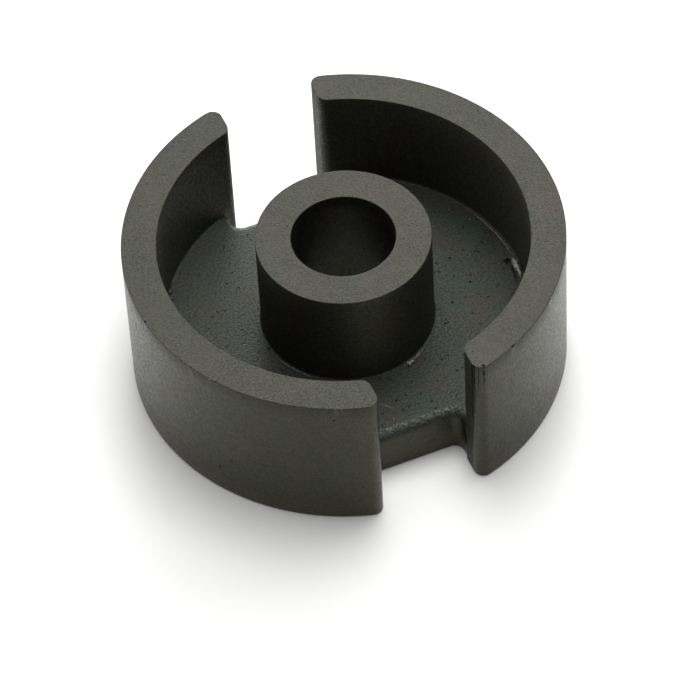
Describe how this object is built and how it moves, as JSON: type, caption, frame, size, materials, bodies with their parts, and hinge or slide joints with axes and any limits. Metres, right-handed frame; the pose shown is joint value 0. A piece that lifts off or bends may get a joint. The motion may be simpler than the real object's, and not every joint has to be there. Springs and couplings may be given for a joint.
{
  "type": "ferrite pot core half",
  "caption": "Round ferrite cup with a hollow centre post and opposite wire slots in its wall. With a matching cup it closes over a wound bobbin to make a shielded inductor or transformer.",
  "frame": {"origin": "on the core's axis, at the flat underside of its base", "axes": "+Z along the bore from the base towards the lapped mating faces; the wire slots lie along +Y and -Y"},
  "size_m": [0.0094, 0.009, 0.0036],
  "materials": {
    "ferrite": "bare sintered, matt, with lapped mating faces"
  },
  "bodies": {
    "root": {"pot_core_half": "ferrite"}
  },
  "joints": []
}
